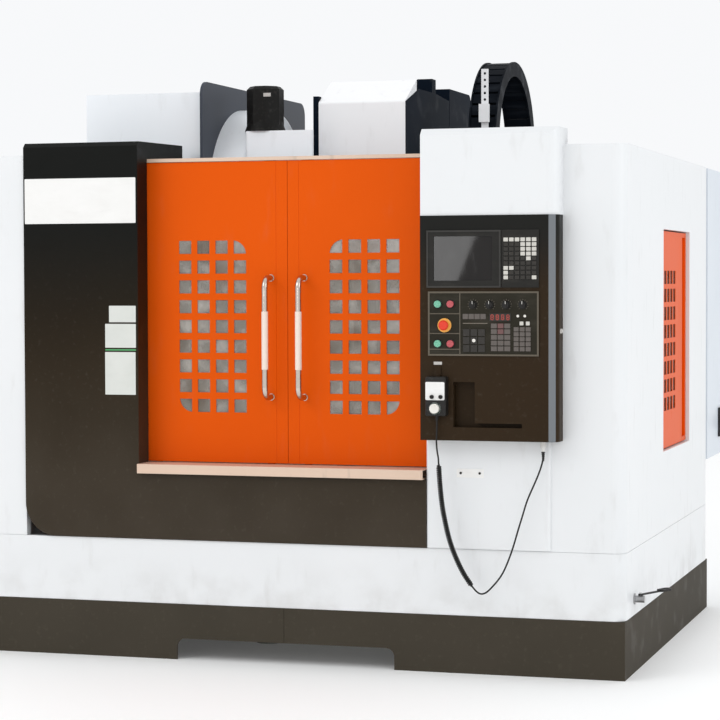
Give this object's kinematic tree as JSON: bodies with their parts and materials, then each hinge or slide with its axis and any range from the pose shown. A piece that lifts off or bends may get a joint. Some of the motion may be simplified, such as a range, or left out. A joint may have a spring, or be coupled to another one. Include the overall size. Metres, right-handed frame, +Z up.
{
  "type": "cnc machining center",
  "caption": "Enclosed vertical machining centre with sliding grille doors, a control console, an arm tool changer and a pendant on a curly cord.",
  "frame": {"origin": "middle of the footprint of the whole machine, at the floor", "axes": "+Z up, +X to the operator's right, +Y from the door side to the rear"},
  "size_m": [2.9615, 2.854, 2.585],
  "materials": {
    "white_paint": "smooth semi-gloss paint",
    "black_paint": "fine-textured semi-matt paint",
    "orange_paint": "smooth semi-gloss paint",
    "base_paint": "semi-matt paint",
    "cream_paint": "smooth semi-gloss paint",
    "slate_paint": "smooth semi-gloss paint",
    "pale_paint": "smooth semi-gloss paint",
    "grey_paint": "smooth semi-gloss paint",
    "casting_paint": "painted casting",
    "machined_steel": "machined",
    "bright_tube": "polished",
    "clear_pane": "clear polycarbonate",
    "screen_glass": "dark glass",
    "black_plastic": "moulded",
    "dark_panel": "printed film over a plate",
    "cord_sheath": "smooth sheath",
    "green_plastic": "moulded",
    "red_plastic": "moulded",
    "white_plastic": "moulded"
  },
  "bodies": {
    "machine": {"base_skirt": "base_paint", "lower_covers": "white_paint", "left_cover": "white_paint", "right_cover": "white_paint", "rear_cover": "white_paint", "roof_covers": "white_paint", "front_panel": "black_paint", "door_rail": "cream_paint", "door_sill": "cream_paint", "operator_cabinet": "white_paint", "console_housing": "black_paint", "screen_unit": "dark_panel", "screen_glass": "screen_glass", "control_panel": "dark_panel", "pendant_body": "black_plastic", "cord_upper": "cord_sheath", "cord_curl": "cord_sheath", "cord_lower": "cord_sheath", "valve_body": "machined_steel", "electrical_cabinet": "grey_paint", "bed_and_column": "casting_paint", "feed_drives": "machined_steel", "z_drive_cover": "black_paint", "magazine_plate": "slate_paint", "magazine_cover": "pale_paint", "magazine_guard": "pale_paint", "cam_box": "pale_paint", "cam_motor": "black_plastic", "cable_chain": "black_plastic"},
    "left sliding door": {"left_door": "orange_paint", "left_window": "clear_pane", "left_handle": "bright_tube"},
    "right sliding door": {"right_door": "orange_paint", "right_window": "clear_pane", "right_handle": "bright_tube"},
    "side door": {"side_door": "orange_paint", "side_window": "clear_pane"},
    "cabinet door": {"cabinet_door": "grey_paint"},
    "isolator handle": {"isolator_handle": "black_plastic"},
    "drain lever": {"valve_lever": "black_plastic"},
    "saddle": {"saddle": "casting_paint"},
    "table": {"table": "machined_steel"},
    "head": {"head_casting": "casting_paint", "head_cover": "white_paint", "head_hood": "black_paint"},
    "spindle": {"spindle": "machined_steel"},
    "tool disc": {"magazine_disc": "machined_steel"},
    "swap arm": {"swap_arm": "machined_steel"},
    "emergency stop": {"emergency_stop": "red_plastic"},
    "power on button": {"power_on_button": "green_plastic"},
    "power off button": {"power_off_button": "red_plastic"},
    "cycle start button": {"cycle_start_button": "green_plastic"},
    "feed hold button": {"feed_hold_button": "red_plastic"},
    "knob 1": {"selector_knob_1": "black_plastic"},
    "knob 2": {"selector_knob_2": "black_plastic"},
    "knob 3": {"selector_knob_3": "black_plastic"},
    "knob 4": {"selector_knob_4": "black_plastic"},
    "pendant dial": {"pendant_dial": "white_plastic"},
    "pendant knob 1": {"pendant_knob_1": "black_plastic"},
    "pendant knob 2": {"pendant_knob_2": "black_plastic"}
  },
  "joints": [
    {"name": "left_door_slide", "type": "slide", "parent": "machine", "child": "left sliding door", "axis": [-1, 0, 0], "range_m": [0, 0.535]},
    {"name": "right_door_slide", "type": "slide", "parent": "machine", "child": "right sliding door", "axis": [1, 0, 0], "range_m": [0, 0.535]},
    {"name": "side_door_hinge", "type": "hinge", "parent": "machine", "child": "side door", "pos_m": [1.33325, -0.364, 1.32], "axis": [0, 0, -1], "range_deg": [0, 95]},
    {"name": "cabinet_door_hinge", "type": "hinge", "parent": "machine", "child": "cabinet door", "pos_m": [1.35125, 1.392, 1.416], "axis": [0, 0, -1], "range_deg": [0, 110]},
    {"name": "isolator_turn", "type": "hinge", "parent": "machine", "child": "isolator handle", "pos_m": [1.37225, 1.271, 0.873], "axis": [1, 0, 0], "range_deg": [0, 90]},
    {"name": "drain_lever_turn", "type": "hinge", "parent": "machine", "child": "drain lever", "pos_m": [1.38525, -1.069, 0.318], "axis": [0, 0, 1], "range_deg": [-66, 24]},
    {"name": "saddle_feed", "type": "slide", "parent": "machine", "child": "saddle", "axis": [0, 1, 0], "range_m": [-0.3, 0.3]},
    {"name": "table_feed", "type": "slide", "parent": "saddle", "child": "table", "axis": [1, 0, 0], "range_m": [-0.4, 0.4]},
    {"name": "head_feed", "type": "slide", "parent": "machine", "child": "head", "axis": [0, 0, 1], "range_m": [-0.6, 0]},
    {"name": "spindle_turn", "type": "hinge", "parent": "head", "child": "spindle", "pos_m": [0.00425, -0.159, 1.7], "axis": [0, 0, 1], "continuous": true},
    {"name": "tool_disc_turn", "type": "hinge", "parent": "machine", "child": "tool disc", "pos_m": [-0.50075, -0.194, 1.905], "axis": [1, 0, 0], "continuous": true},
    {"name": "swap_arm_turn", "type": "hinge", "parent": "machine", "child": "swap arm", "pos_m": [-0.32575, -0.159, 1.4], "axis": [0, 0, 1], "range_deg": [0, 180]},
    {"name": "emergency_stop_push", "type": "slide", "parent": "machine", "child": "emergency stop", "axis": [0, 1, 0], "range_m": [0, 0.006]},
    {"name": "power_on_push", "type": "slide", "parent": "machine", "child": "power on button", "axis": [0, 1, 0], "range_m": [0, 0.004], "stiffness_N_per_m": 400},
    {"name": "power_off_push", "type": "slide", "parent": "machine", "child": "power off button", "axis": [0, 1, 0], "range_m": [0, 0.004], "stiffness_N_per_m": 400},
    {"name": "cycle_start_push", "type": "slide", "parent": "machine", "child": "cycle start button", "axis": [0, 1, 0], "range_m": [0, 0.004], "stiffness_N_per_m": 400},
    {"name": "feed_hold_push", "type": "slide", "parent": "machine", "child": "feed hold button", "axis": [0, 1, 0], "range_m": [0, 0.004], "stiffness_N_per_m": 400},
    {"name": "knob_1_turn", "type": "hinge", "parent": "machine", "child": "knob 1", "pos_m": [0.77025, -1.368, 1.484], "axis": [0, -1, 0], "range_deg": [-60, 60]},
    {"name": "knob_2_turn", "type": "hinge", "parent": "machine", "child": "knob 2", "pos_m": [0.83725, -1.368, 1.484], "axis": [0, -1, 0], "range_deg": [-60, 60]},
    {"name": "knob_3_turn", "type": "hinge", "parent": "machine", "child": "knob 3", "pos_m": [0.90425, -1.368, 1.484], "axis": [0, -1, 0], "range_deg": [-120, 120]},
    {"name": "knob_4_turn", "type": "hinge", "parent": "machine", "child": "knob 4", "pos_m": [0.97125, -1.368, 1.484], "axis": [0, -1, 0], "range_deg": [-120, 120]},
    {"name": "dial_turn", "type": "hinge", "parent": "machine", "child": "pendant dial", "pos_m": [0.62325, -1.406, 1.074], "axis": [0, -1, 0], "continuous": true},
    {"name": "pendant_knob_1_turn", "type": "hinge", "parent": "machine", "child": "pendant knob 1", "pos_m": [0.61125, -1.406, 1.12], "axis": [0, -1, 0], "range_deg": [-60, 60]},
    {"name": "pendant_knob_2_turn", "type": "hinge", "parent": "machine", "child": "pendant knob 2", "pos_m": [0.64725, -1.406, 1.12], "axis": [0, -1, 0], "range_deg": [-60, 60]}
  ]
}
